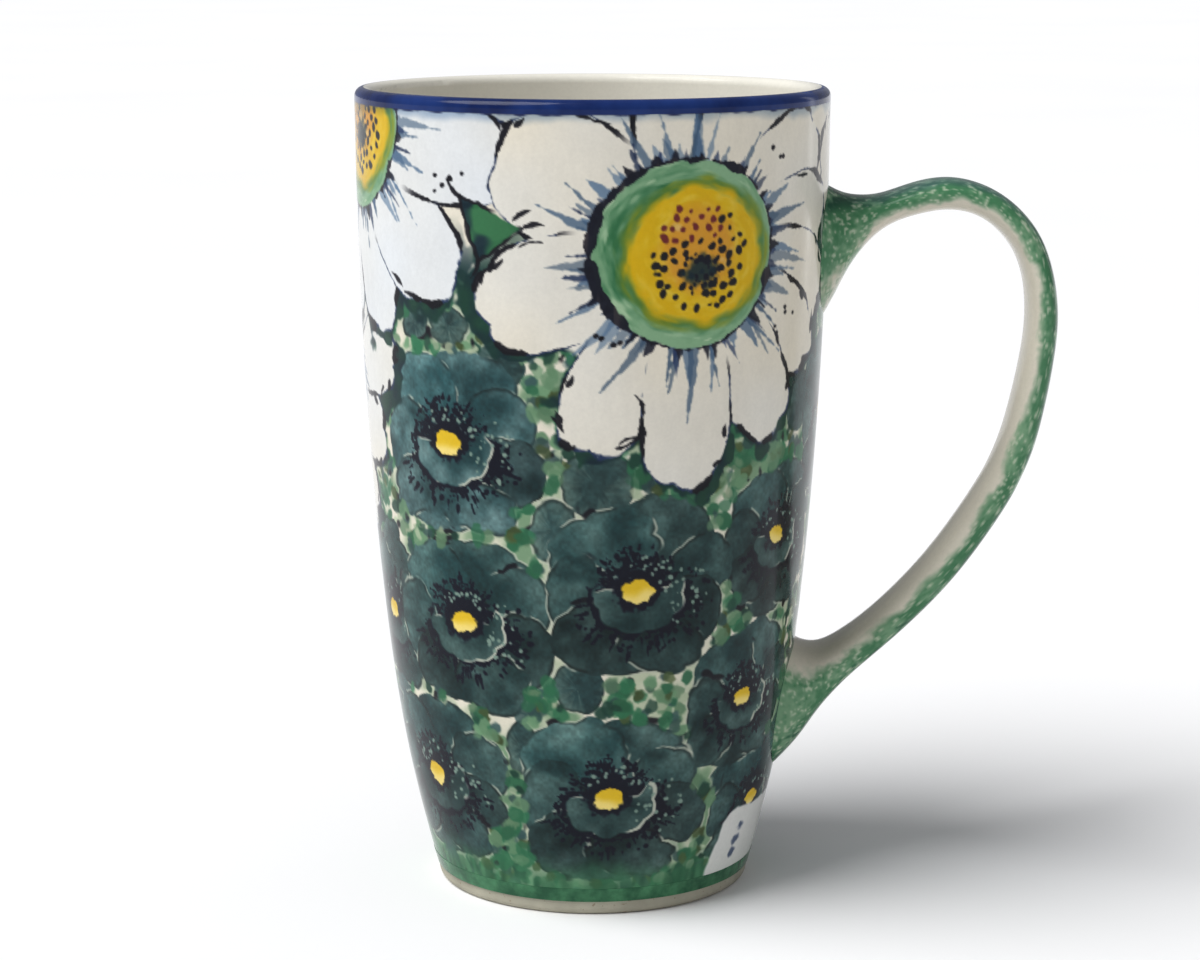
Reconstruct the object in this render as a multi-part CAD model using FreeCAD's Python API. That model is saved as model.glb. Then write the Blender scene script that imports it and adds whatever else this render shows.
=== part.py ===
"""Tall hand-painted stoneware mug: a slip-cast cup on a wiped foot ring, with a strap handle luted on
with slip, and the glaze that covers it all but for the foot.

Millimetres, +Z up. The origin is on the cup's axis at the table plane, and the handle is on +X.

Every piece of a fired mug is bonded to its neighbour, so the nodes touch face to face and nothing moves:
the cup and the handle are two castings, two collars of slip join them, and the glaze is a thin glass coat
over both, split where it stops or changes colour: at the foot ring, the two painted bands, the crown of the
lip and the handle's roots.
"""
import FreeCAD
import Part
import math
import os

# Driving dimensions
height = 146.0              # table to the crown of the lip
glaze = 0.3                 # thickness of the fired glaze coat
lip_radius = 1.6            # half the wall's thickness at the lip, glazed
rim_radius = 42.7           # outside of the lip, glazed
wall_at_rim = 2.0 * lip_radius
wall_at_floor = 4.4         # glazed wall thickness low in the cup

# Outside of the glazed wall as (radius, height), from the glaze line above the foot to below the lip
glaze_line = 2.6
wall_outline = [(29.15, glaze_line), (33.4, 20.0), (38.0, 50.0), (41.2, 90.0), (42.4, 122.0),
                (rim_radius, height - lip_radius)]

# Painted bands in the outer glaze
foot_band_top = 5.2         # green band along the glaze line
rim_band_bottom = 143.6     # blue band round the lip

# Inside of the cup
floor_top = 7.4             # glazed floor of the cup
floor_corner = 9.0          # radius between the floor and the wall

# Foot ring, bare clay
foot_outer = 27.8
foot_inner = 23.2
foot_round_radius = 28.75   # where the rounded outer edge of the ring ends
foot_round_height = 1.5
recess_radius = 21.6
recess_top = 2.4            # clay surface of the recess under the floor

# Handle strap: its outer edge (x, z), inner edge (x, z) and width at each station, in the plane y = 0,
# from inside the wall at the top to inside it below. It flares where it meets the wall.
handle_stations = [
    ((38.6, 128.6), (38.2, 100.5), 22.0),
    ((43.0, 127.0), (43.2, 108.6), 17.0),
    ((46.8, 126.0), (47.0, 115.2), 15.0),
    ((52.0, 126.4), (52.4, 120.8), 13.8),
    ((58.4, 128.6), (59.2, 123.3), 13.4),
    ((65.5, 129.4), (65.3, 124.0), 13.2),
    ((73.8, 126.6), (71.2, 122.1), 13.2),
    ((80.7, 119.6), (76.4, 116.6), 13.2),
    ((83.9, 109.5), (78.7, 109.3), 13.2),
    ((84.1, 99.0), (78.7, 99.8), 13.2),
    ((81.3, 83.3), (75.9, 86.0), 13.2),
    ((75.0, 68.6), (70.2, 72.4), 13.2),
    ((66.6, 56.2), (61.9, 60.2), 13.2),
    ((56.3, 45.6), (52.2, 49.9), 13.4),
    ((47.4, 38.1), (44.2, 43.9), 14.4),
    ((41.3, 32.0), (40.2, 42.2), 16.0),
    ((37.4, 26.6), (36.4, 42.6), 18.5),
    ((31.0, 20.5), (31.5, 46.0), 22.0),
]
squareness = 2.5            # superellipse power of the strap's section
section_points = 20
sections_per_station = 1

# Slip collars around the handle's roots
collar_spread = 1.7         # how far the slip is smoothed out beyond the clay strap, at the wall
collar_edge = 0.15          # thickness of its outer edge, on the handle
collar_stations = 2.2       # how many stations of the strap a collar spans, from inside the wall

parts_folder = "parts"
z_axis = FreeCAD.Vector(0, 0, 1)
origin = FreeCAD.Vector(0, 0, 0)


def point(radius, z):
    """A point of a half outline, in the plane that is spun about the cup's axis."""
    return FreeCAD.Vector(radius, 0, z)


def line(a, b):
    return Part.LineSegment(a, b).toShape()


def arc(a, middle, b):
    return Part.Arc(a, middle, b).toShape()


def smooth(points):
    """A smooth curve through the points."""
    curve = Part.BSplineCurve()
    curve.interpolate(points)
    return curve.toShape()


def spin(edges):
    """The solid that a closed half outline sweeps about the cup's axis."""
    face = Part.Face(Part.Wire(Part.__sortEdges__(edges)))
    return face.revolve(origin, z_axis, 360)


def wall_thickness(z):
    share = (height - lip_radius - z) / (height - lip_radius - floor_top)
    return wall_at_rim + (wall_at_floor - wall_at_rim) * share


def outer_points(depth):
    """The outside wall, set in by depth."""
    return [point(r - depth, z) for r, z in wall_outline]


def outer_radius(z):
    """Glazed outside radius at a height, read from the wall's own curve."""
    curve = Part.BSplineCurve()
    curve.interpolate(outer_points(0))
    cut = Part.Plane(point(0, z), z_axis)
    return curve.intersect(cut)[0][0].X


def inner_points(depth):
    """The inside wall, from the floor's corner to below the lip, set into the wall by depth."""
    heights = [floor_top + floor_corner, 35.0, 60.0, 92.0, 122.0, height - lip_radius]
    return [point(outer_radius(z) - wall_thickness(z) + depth, z) for z in heights]


def crown(depth, outward):
    """A quarter of the rounded lip, from its crown down to the wall, set in by depth."""
    middle_radius = rim_radius - lip_radius
    base = height - lip_radius
    size = lip_radius - depth
    side = 1 if outward else -1
    return arc(point(middle_radius, base + size),
               point(middle_radius + side * size * math.sin(math.pi / 4), base + size * math.cos(math.pi / 4)),
               point(middle_radius + side * size, base))


def inner_edges(depth):
    """Inside wall, corner and floor as edges, set into the clay by depth."""
    wall = inner_points(depth)
    foot_of_wall = wall[0]
    floor = floor_top - depth
    corner_start = point(foot_of_wall.x - floor_corner, floor)
    turn = math.radians(40)
    middle = point(corner_start.x + floor_corner * math.sin(turn) * 1.03,
                   floor + (floor_corner + depth) * (1 - math.cos(turn)))
    return [smooth(wall), smooth([corner_start, middle, foot_of_wall]), line(point(0, floor), corner_start)]


def cup_body():
    """The clay cup with its floor and bare foot ring."""
    outside = outer_points(glaze)
    low = outside[0]
    edges = [
        line(point(0, recess_top), point(recess_radius, recess_top)),
        line(point(recess_radius, recess_top), point(foot_inner, 0)),
        line(point(foot_inner, 0), point(foot_outer, 0)),
        arc(point(foot_outer, 0), point(foot_outer + 0.7, 0.55), point(foot_round_radius, foot_round_height)),
        line(point(foot_round_radius, foot_round_height), low),
        smooth(outside),
        crown(glaze, True),
        crown(glaze, False),
        *inner_edges(glaze),
        line(point(0, floor_top - glaze), point(0, recess_top)),
    ]
    return spin(edges)


def outer_glaze():
    """Glaze on the outside of the cup, from the glaze line to the crown of the lip."""
    inside = outer_points(glaze)
    outside = outer_points(0)
    middle_radius = rim_radius - lip_radius
    return spin([
        smooth(inside),
        smooth(outside),
        line(inside[0], outside[0]),
        crown(0, True),
        crown(glaze, True),
        line(point(middle_radius, height - glaze), point(middle_radius, height)),
    ])


def liner_glaze():
    """Glaze inside the cup, from the crown of the lip down over the floor."""
    middle_radius = rim_radius - lip_radius
    return spin([
        *inner_edges(0),
        *inner_edges(glaze),
        crown(0, False),
        crown(glaze, False),
        line(point(middle_radius, height - glaze), point(middle_radius, height)),
        line(point(0, floor_top - glaze), point(0, floor_top)),
    ])


def base_glaze():
    """Glaze in the recess under the floor, inside the foot ring."""
    return Part.makeCylinder(recess_radius - 0.8, glaze, point(0, recess_top - glaze))


def cup_blank():
    """The cup's clay outside filled solid, to trim what is joined to it."""
    outside = outer_points(glaze)
    top = point(0, height - lip_radius)
    return spin([
        smooth(outside),
        line(point(0, glaze_line), outside[0]),
        line(outside[-1], top),
        line(point(0, glaze_line), top),
    ])


def slab(bottom, top):
    """Everything between two heights."""
    return Part.makeCylinder(3 * rim_radius, top - bottom, point(0, bottom))


def edge_curve(points):
    """A curve that reaches its points at 0, 1, 2 and so on."""
    curve = Part.BSplineCurve()
    curve.interpolate(Points=[point(*p) for p in points], Parameters=[float(i) for i in range(len(points))])
    return curve


def width_at(station):
    """The strap's width between two stations, eased."""
    low = min(int(station), len(handle_stations) - 2)
    share = station - low
    a, b = handle_stations[low][2], handle_stations[low + 1][2]
    return a + (b - a) * share


def section(outer, inner, width, grow):
    """A closed superellipse across the strap, grown all round."""
    centre = (outer + inner) / 2
    across = (outer - inner) / 2
    half = across.Length
    across = across / half * (half + grow)
    side = FreeCAD.Vector(0, width / 2 + grow, 0)
    points = []
    for i in range(section_points):
        angle = 2 * math.pi * i / section_points
        c, s = math.cos(angle), math.sin(angle)
        u = math.copysign(abs(c) ** (2 / squareness), c)
        v = math.copysign(abs(s) ** (2 / squareness), s)
        points.append(centre + across * u + side * v)
    curve = Part.BSplineCurve()
    curve.interpolate(Points=points, PeriodicFlag=True)
    return Part.Wire(curve.toShape())


def strap(first, last, grow_first, grow_last):
    """The strap from one station to another, grown all round by an amount that changes evenly on the way."""
    outer = edge_curve([s[0] for s in handle_stations])
    inner = edge_curve([s[1] for s in handle_stations])
    count = max(5, round(abs(last - first) * sections_per_station) + 1)
    wires = []
    for i in range(count):
        share = i / (count - 1)
        at = first + (last - first) * share
        grow = grow_first + (grow_last - grow_first) * share
        wires.append(section(outer.value(at), inner.value(at), width_at(at), grow))
    return Part.makeLoft(wires, True, False)


def whole_strap(grow):
    return strap(0, len(handle_stations) - 1, grow, grow)


def collar(coat, at_top):
    """A filled cone of slip over one root of the handle, under the glaze or with a coat of it."""
    reach = collar_stations + coat / 3
    end = len(handle_stations) - 1
    first, last = (0, reach) if at_top else (end, end - reach)
    return strap(first, last, collar_spread - glaze + coat, collar_edge - glaze + coat)


def save(name, shape):
    """Writes one node, and prints what it is."""
    solids = shape.Solids
    whole = solids[0] if len(solids) == 1 else Part.makeCompound(solids)
    whole.exportStep(os.path.join(parts_folder, name + ".step"))
    print(f"{name}: {len(solids)} solid, valid {whole.isValid()}, {whole.Volume / 1000:.2f} cm3")


def main():
    os.makedirs(parts_folder, exist_ok=True)
    blank = cup_blank()
    clay_strap = whole_strap(-glaze)
    coat = whole_strap(0.0).fuse([collar(glaze, True), collar(glaze, False)])
    outer_coat = outer_glaze().cut(coat)

    joints = {
        "upper_slip_joint": collar(0.0, True).cut(blank).cut(clay_strap),
        "lower_slip_joint": collar(0.0, False).cut(blank).cut(clay_strap),
    }
    handle_coat = coat.cut(blank).cut(clay_strap)
    for joint in joints.values():
        handle_coat = handle_coat.cut(joint)

    save("cup_body", cup_body())
    save("handle", clay_strap.cut(blank))
    for name, joint in joints.items():
        save(name, joint)
    save("foot_band", outer_coat.common(slab(0, foot_band_top)))
    save("wall_glaze", outer_coat.common(slab(foot_band_top, rim_band_bottom)))
    save("rim_band", outer_coat.common(slab(rim_band_bottom, height + 1)))
    save("liner_glaze", liner_glaze())
    save("base_glaze", base_glaze())
    save("handle_glaze", handle_coat)


main()
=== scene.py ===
import bpy
import numpy as np
from math import radians
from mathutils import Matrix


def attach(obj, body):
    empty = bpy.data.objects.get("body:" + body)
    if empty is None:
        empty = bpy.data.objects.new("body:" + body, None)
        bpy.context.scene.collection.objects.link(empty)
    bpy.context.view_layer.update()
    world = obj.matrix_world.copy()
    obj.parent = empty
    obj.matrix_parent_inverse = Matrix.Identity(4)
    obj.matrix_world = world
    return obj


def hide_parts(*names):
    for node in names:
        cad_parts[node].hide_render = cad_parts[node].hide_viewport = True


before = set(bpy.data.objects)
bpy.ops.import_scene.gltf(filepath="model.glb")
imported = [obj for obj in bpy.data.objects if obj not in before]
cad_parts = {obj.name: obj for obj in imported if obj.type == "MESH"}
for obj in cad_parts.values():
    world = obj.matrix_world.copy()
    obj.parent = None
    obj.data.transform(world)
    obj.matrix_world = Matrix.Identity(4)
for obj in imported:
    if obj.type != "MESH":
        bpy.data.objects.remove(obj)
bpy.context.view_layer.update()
print("frame loaded:", sorted(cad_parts))

# the outside of the glazed wall in millimetres, from the glaze line to the lip, and the heights of the
# green foot band and the blue rim band that the painting lies between
wall = {"heights": [2.6, 20.0, 50.0, 90.0, 122.0, 144.4],
        "radii": [29.15, 33.4, 38.0, 41.2, 42.4, 42.7],
        "footBandTop": 5.2, "rimBandBottom": 143.6}


def wallRadius(height):
    # natural cubic spline through the wall's radii
    h, r = np.array(wall["heights"]), np.array(wall["radii"])
    n = len(h)
    gap = np.diff(h)
    matrix, rest = np.eye(n), np.zeros(n)
    for i in range(1, n - 1):
        matrix[i, i - 1], matrix[i, i], matrix[i, i + 1] = gap[i - 1], 2 * (gap[i - 1] + gap[i]), gap[i]
        rest[i] = 6 * ((r[i + 1] - r[i]) / gap[i] - (r[i] - r[i - 1]) / gap[i - 1])
    curve = np.linalg.solve(matrix, rest)
    at = np.clip(height, h[0], h[-1])
    i = np.clip(np.searchsorted(h, at) - 1, 0, n - 2)
    a, b = (h[i + 1] - at) / gap[i], (at - h[i]) / gap[i]
    return (a * r[i] + b * r[i + 1]
            + ((a ** 3 - a) * curve[i] + (b ** 3 - b) * curve[i + 1]) * gap[i] ** 2 / 6)


# brushes: everything painted on the wall is worked out in millimetres on one unrolled sheet
sheet = {"rows": 561, "panels": 8, "panelColumns": 140, "low": wall["footBandTop"],
         "high": wall["rimBandBottom"], "startTurn": -180.0, "seed": 1897}
sheetColumns = sheet["panels"] * sheet["panelColumns"]
heights = np.linspace(sheet["low"], sheet["high"], sheet["rows"])
turns = sheet["startTurn"] + np.arange(sheetColumns) * 360.0 / sheetColumns
radii = wallRadius(heights)
sheetPlaces = np.stack([radii[:, None] * np.sin(np.radians(turns)),
                        -radii[:, None] * np.cos(np.radians(turns)),
                        np.broadcast_to(heights[:, None], (sheet["rows"], sheetColumns))], -1)
aroundZ = sheetPlaces[..., 2]
rng = np.random.default_rng(sheet["seed"])

# big odd numbers that turn a place into chance, which runs from 0 to the most
scramble = {"x": np.uint32(374761393), "y": np.uint32(668265263), "z": np.uint32(2246822519),
            "again": np.uint32(1274126177), "seedStep": 97, "most": 65535}


def hashed(xi, yi, zi, seed):
    # a number from 0 to 1 for each whole place, always the same one
    h = xi * scramble["x"] + yi * scramble["y"] + zi * scramble["z"] + np.uint32(seed * scramble["seedStep"])
    h = (h ^ (h >> np.uint32(13))) * scramble["again"]
    kept = (h ^ (h >> np.uint32(16))) & np.uint32(scramble["most"])
    return kept.astype(np.float32) / float(scramble["most"])


def noiseAt(places, size, seed):
    # soft noise from -1 to 1, its lumps about this many millimetres wide
    p = places / size + 300
    f = np.floor(p)
    i = f.astype(np.uint32)
    t = (p - f).astype(np.float32)
    t = t * t * (3 - 2 * t)
    total = 0
    for cx in (0, 1):
        for cy in (0, 1):
            for cz in (0, 1):
                weight = 1
                for axis, corner in enumerate((cx, cy, cz)):
                    weight = weight * (t[..., axis] if corner else 1 - t[..., axis])
                total = total + weight * hashed(i[..., 0] + np.uint32(cx), i[..., 1] + np.uint32(cy),
                                                i[..., 2] + np.uint32(cz), seed)
    return total * 2 - 1


# unevenness of the hand, from the finest to the widest
grain = noiseAt(sheetPlaces, 0.5, 1)
fine = noiseAt(sheetPlaces, 1.1, 2)
ripple = noiseAt(sheetPlaces, 2.4, 3)
lump = noiseAt(sheetPlaces, 5.0, 4)
broad = noiseAt(sheetPlaces, 13.0, 5)
drift = noiseAt(sheetPlaces, 21.0, 8)
streak = noiseAt(sheetPlaces * (1, 1, 0.17), 1.0, 6)     # drawn out up the wall, as a brush leaves it
paint = np.zeros((sheet["rows"], sheetColumns, 3), np.float32)
covered = np.zeros((sheet["rows"], sheetColumns), np.float32)   # where the dark flowers lie


def ink(r, g, b):
    # a paint, from its red, green and blue as seen
    return np.array([r, g, b], np.float32) / 255.0


def smooth(low, high, value):
    # 0 at low, 1 at high, eased between; low may be the larger
    t = np.clip((value - low) / (high - low), 0, 1)
    return t * t * (3 - 2 * t)


def blend(a, b, share):
    # from one paint to the other, place by place
    return a + (b - a) * np.clip(share, 0, 1)[..., None]


def spread(turn, height, reach):
    # the part of the sheet within reach of a place, with its millimetres across and up from there
    rows = np.arange(np.searchsorted(heights, height - reach), np.searchsorted(heights, height + reach))
    if not len(rows):
        return None
    degrees = np.degrees(reach / radii[rows].min())
    first = int(np.floor((turn - degrees - sheet["startTurn"]) * sheetColumns / 360))
    last = int(np.ceil((turn + degrees - sheet["startTurn"]) * sheetColumns / 360))
    columns = np.arange(first, last)
    away = np.radians(sheet["startTurn"] + columns * 360.0 / sheetColumns - turn)
    across = radii[rows][:, None] * away[None, :]
    up = np.broadcast_to((heights[rows] - height)[:, None], across.shape)
    return np.ix_(rows, columns % sheetColumns), across, up


def lay(cells, cover, colour):
    # paint over what is there, as thickly as cover says
    paint[cells] += (colour - paint[cells]) * np.clip(cover, 0, 1)[..., None]


def oval(across, up, rx, ry, lean, egg=0.0, blunt=2.0):
    # distance outside an oval in millimetres, and the direction round it
    c, s = np.cos(np.radians(lean)), np.sin(np.radians(lean))
    a, b = across * c + up * s, -across * s + up * c
    wide = ry * (1 + egg * np.clip(a / rx, -1, 1))
    rho = (np.abs(a / rx) ** blunt + np.abs(b / wide) ** blunt) ** (1 / blunt)
    return (rho - 1) * min(rx, ry), np.arctan2(b / ry, a / rx)


def scallops(around, count, phase):
    # rounded lobes with sharp notches between them, 0 on a lobe and 1 in a notch
    return 1 - np.abs(np.cos(0.5 * count * around + phase))


def dab(turn, height, dx, dy, rx, ry, lean, colour, strength=1.0, soft=0.25, rough=0.2):
    # one touch of the brush
    found = spread(turn, height, max(rx, ry) + max(abs(dx), abs(dy)) + 1)
    if found is None:
        return
    cells, across, up = found
    d, _ = oval(across - dx, up - dy, rx, ry, lean)
    lay(cells, strength * smooth(soft, -soft, d + rough * fine[cells] + 0.5 * rough * grain[cells]), colour)


def stroke(turn, height, line, colour, strength=1.0, soft=0.16, rough=0.12):
    # a tapered mark through (across, up, half width) places
    found = spread(turn, height, max(max(abs(p[0]), abs(p[1])) for p in line) + 2)
    if found is None:
        return
    cells, across, up = found
    x0, x1 = min(p[0] - p[2] for p in line) - 1, max(p[0] + p[2] for p in line) + 1
    y0, y1 = min(p[1] - p[2] for p in line) - 1, max(p[1] + p[2] for p in line) + 1
    rowKeep = np.where((up[:, 0] > y0) & (up[:, 0] < y1))[0]
    columnKeep = np.where(((across > x0) & (across < x1)).any(axis=0))[0]
    if not len(rowKeep) or not len(columnKeep):
        return
    keep = np.ix_(rowKeep, columnKeep)
    cells = np.ix_(cells[0][rowKeep, 0], cells[1][0, columnKeep])
    across, up = across[keep], up[keep]
    best = np.full(across.shape, 99.0)
    for (ax, ay, aw), (bx, by, bw) in zip(line[:-1], line[1:]):
        ex, ey = bx - ax, by - ay
        t = np.clip(((across - ax) * ex + (up - ay) * ey) / (ex * ex + ey * ey + 1e-9), 0, 1)
        best = np.minimum(best, np.hypot(across - ax - t * ex, up - ay - t * ey) - (aw + (bw - aw) * t))
    uneven = rough * fine[cells] + 0.6 * rough * grain[cells]
    lay(cells, strength * smooth(soft, -soft, best + uneven), colour)


def sweep(start, stop, sag, width, count=7, thick=0.5):
    # the places of one arched brush mark, thin at both ends and widest at a share of its length
    line = []
    for i in range(count):
        t = i / (count - 1)
        bend = sag * 4 * t * (1 - t)
        x = start[0] + (stop[0] - start[0]) * t - (stop[1] - start[1]) * bend
        y = start[1] + (stop[1] - start[1]) * t + (stop[0] - start[0]) * bend
        swell = min(t / thick, (1 - t) / (1 - thick))
        line.append((x, y, width * (0.12 + 0.88 * np.sin(swell * np.pi / 2))))
    return line


# colours of the paints, as they look fired
# the bluish white among these paints stands for a painted sheen on the white flowers, mixed with random tone
hue = {"cream": ink(226, 219, 202), "sheenWhite": ink(219, 225, 232), "line": ink(188, 192, 176),
       "leaf": ink(98, 136, 102), "leafBright": ink(42, 102, 70), "leafPale": ink(170, 184, 154),
       "olive": ink(66, 82, 46), "pine": ink(22, 58, 46), "teal": ink(18, 39, 40),
       "tealDeep": ink(10, 34, 44), "tealPale": ink(80, 106, 102), "blueTeal": ink(25, 52, 55),
       # the pale blue of the upper-left dark flower is partly a painted sheen
       "bluePale": ink(102, 132, 132), "greyLeaf": ink(48, 76, 76), "greyPale": ink(120, 144, 132),
       "navy": ink(8, 11, 26), "black": ink(12, 12, 20), "umber": ink(40, 36, 42),
       "slate": ink(62, 90, 120), "slateDeep": ink(28, 44, 78), "maroon": ink(98, 30, 34),
       "gold": ink(212, 170, 4), "amber": ink(204, 140, 44), "lemon": ink(238, 214, 122),
       "sage": ink(128, 168, 130), "fern": ink(44, 104, 64), "sageWhite": ink(184, 208, 172),
       "moss": ink(122, 132, 20), "blot": ink(20, 30, 72), "patch": ink(226, 226, 222),
       "handleGreen": ink(68, 120, 84), "handleLight": ink(144, 174, 142), "handleDeep": ink(22, 64, 50),
       "handleCream": ink(212, 206, 190), "archTeal": ink(74, 106, 106),
       "cobalt": ink(12, 24, 66), "cobaltThin": ink(34, 62, 128), "footGreen": ink(76, 136, 96),
       "footDeep": ink(38, 86, 60), "clayDeep": ink(152, 148, 132), "clayPale": ink(180, 176, 158),
       "iron": ink(118, 92, 66), "liner": ink(236, 233, 222)}


def ground():
    # cream clay above, a wash of thin greens below
    low = smooth(118, 106, aroundZ + 6 * broad)
    paint[:] = blend(hue["cream"], hue["leafPale"], 0.8 * smooth(-0.5, 0.2, lump + 0.5 * ripple) * low)
    wash = smooth(-0.05, 0.35, broad + 0.6 * lump + 0.3 * ripple) * low
    paint[:] = blend(paint, hue["leaf"], 0.75 * wash)


# little leaves and blots: each paint with its share of the dabs and its least and greatest half width
gaps = {"dabs": 3400, "top": 116,
        "kinds": [("leafBright", 0.27, 1.0, 2.1), ("leaf", 0.22, 1.0, 2.0), ("olive", 0.13, 0.8, 1.6),
                  ("pine", 0.09, 0.8, 1.6), ("greyLeaf", 0.12, 0.9, 1.8), ("black", 0.06, 0.35, 0.8),
                  ("leafPale", 0.11, 0.6, 1.4)]}


def gapDabs():
    # fills the ground that still shows between the dark flowers
    bare = np.argwhere((covered < 0.35) & (aroundZ < gaps["top"]))
    kinds = rng.choice(len(gaps["kinds"]), gaps["dabs"], p=[kind[1] for kind in gaps["kinds"]])
    for kind, (row, column) in zip(kinds, bare[rng.integers(0, len(bare), gaps["dabs"])]):
        tone, _, low, high = gaps["kinds"][kind]
        rx = rng.uniform(low, high)
        dab(turns[column], heights[row], 0, 0, rx, rx * rng.uniform(0.55, 0.95), rng.uniform(0, 180),
            hue[tone] * rng.uniform(0.85, 1.1), rng.uniform(0.7, 0.97), 0.26, 0.3)


def footWash():
    # green brushed round the foot, wet and uneven
    deep = smooth(12.5, 5.5, aroundZ + 2.0 * lump + 1.2 * ripple)
    tone = blend(hue["footDeep"], hue["footGreen"], 0.5 + 0.6 * streak + 0.4 * lump)
    paint[:] = paint + (tone - paint) * (0.8 * deep)[..., None]


def turned(d, way, size, spin, seed):
    # noise drawn out round a ring, as turning brush strokes leave it
    ringPlaces = np.stack([d / size, spin * np.cos(way), spin * np.sin(way)], -1)
    return noiseAt(ringPlaces, 1.0, seed) + 0.5 * noiseAt(ringPlaces * 2.2, 1.0, seed + 1)


def petal(turn, height, dx, dy, rx, ry, lean, tone, pale, reach, edge=0.5):
    # one petal of a dark flower: watery colour with a ruffled edge
    found = spread(turn, height, max(rx, ry) + np.hypot(dx, dy) + 3)
    if found is None:
        return
    cells, across, up = found
    d, around = oval(across - dx, up - dy, rx, ry, lean, 0.0, 2.2)
    lobes = round(0.62 * (rx + ry))
    d = d + edge * scallops(around, lobes, rng.uniform(0, 3.1)) * (0.7 + 0.6 * lump[cells])
    d = d + 0.30 * ripple[cells] + 0.40 * lump[cells] + 0.16 * fine[cells]
    covered[cells] = np.maximum(covered[cells], smooth(0.5, 0, d))
    # bare clay shows in a broken line round it, and dark paint is caught there in places
    broken = smooth(-0.05, 0.35, 0.7 * lump[cells] + 0.9 * ripple[cells] + 0.3 * fine[cells])
    lay(cells, 0.72 * smooth(0.46, 0.2, d) * broken, hue["line"])
    caught = smooth(0.8, 0.4, np.abs(d - 0.3)) * smooth(0.55, 0.8, lump[cells] - 0.5 * ripple[cells])
    lay(cells, 0.9 * caught, hue["black"])
    # paler away from the flower's middle, cloudy, with a dark pool along the wet edge
    far = np.clip(np.hypot(across, up) / reach, 0, 1)
    way = np.arctan2(up, across)
    rays = turned(np.hypot(across, up), way, 9.0, 5.0, 61)
    cloudy = 0.42 * broad[cells] + 0.6 * lump[cells] + 0.4 * ripple[cells] + 0.3 * rays
    tone = blend(tone, hue["blueTeal"] * 0.9, 0.7 * smooth(0.1, 0.7, drift[cells]))
    colour = blend(tone, pale, 0.04 + 0.46 * far ** 1.6 + 0.6 * cloudy)
    colour = colour * (1 + 0.14 * grain[cells] + 0.10 * fine[cells])[..., None]
    pool = smooth(-0.75, -0.1, d) * smooth(-0.5, 0.3, ripple[cells])
    colour = colour * (1 - 0.42 * pool)[..., None]
    lay(cells, smooth(0.14, -0.14, d), colour)


def speckled(cells, depth):
    # solid where depth is high, breaking into specks as it falls to nothing
    return smooth(-0.14, 0.10, depth + 0.62 * fine[cells] + 0.55 * grain[cells] + 0.2 * ripple[cells])


def stamens(turn, height, dx, dy, rx, ry, count, tone, low, high, start=0, stop=360, dash=0.0, big=0.6):
    # specks scattered between two ovals, some drawn outwards when dash is more than nothing
    for _ in range(count):
        way = np.radians(rng.uniform(start, stop))
        far = rng.uniform(low, high)
        x, y = dx + rx * far * np.cos(way), dy + ry * far * np.sin(way)
        size = rng.uniform(0.24, big)
        if dash and rng.random() < 0.5:
            long = dash * rng.uniform(0.4, 1.3)
            line = [(x, y, size * 0.75), (x + long * np.cos(way), y + long * np.sin(way), 0.16)]
            stroke(turn, height, line, tone, 0.92, 0.14, 0.16)
        else:
            dab(turn, height, x, y, size, size * rng.uniform(0.65, 1), rng.uniform(0, 180), tone,
                0.95, 0.14, 0.14)


# a dark flower, in millimetres from its middle; places are (across, up, half width, half height), and the
# back petals have their lean and lightness after that
darkFlower = {"scale": 0.88, "tones": ("teal", "tealPale"), "reach": 19, "eye": (0.0, 1.6, 6.8, 5.6),
              "sideEye": (9.5, -2.5, 4.6, 5.4), "cup": (0.6, -0.9, 8.8, 7.0), "heart": (4.2, 3.5),
              "yolk": (2.9, 2.15),
              "petals": [(-0.5, -11.0, 13.0, 6.6, 4, 0.95), (4.5, 8.8, 11.5, 8.6, -4, 1.15),
                         (-6.5, 7.4, 9.8, 8.6, 14, 1.45), (-11.8, -1.5, 6.4, 9.0, 10, 1.25),
                         (-8.5, -8.5, 7.5, 6.5, 30, 0.9), (12.5, 4.5, 6.4, 6.8, 20, 1.1),
                         (12.0, -4.5, 7.4, 7.4, -8, 0.85), (5.5, -11.0, 9.0, 6.0, -14, 1.0)]}


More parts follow.
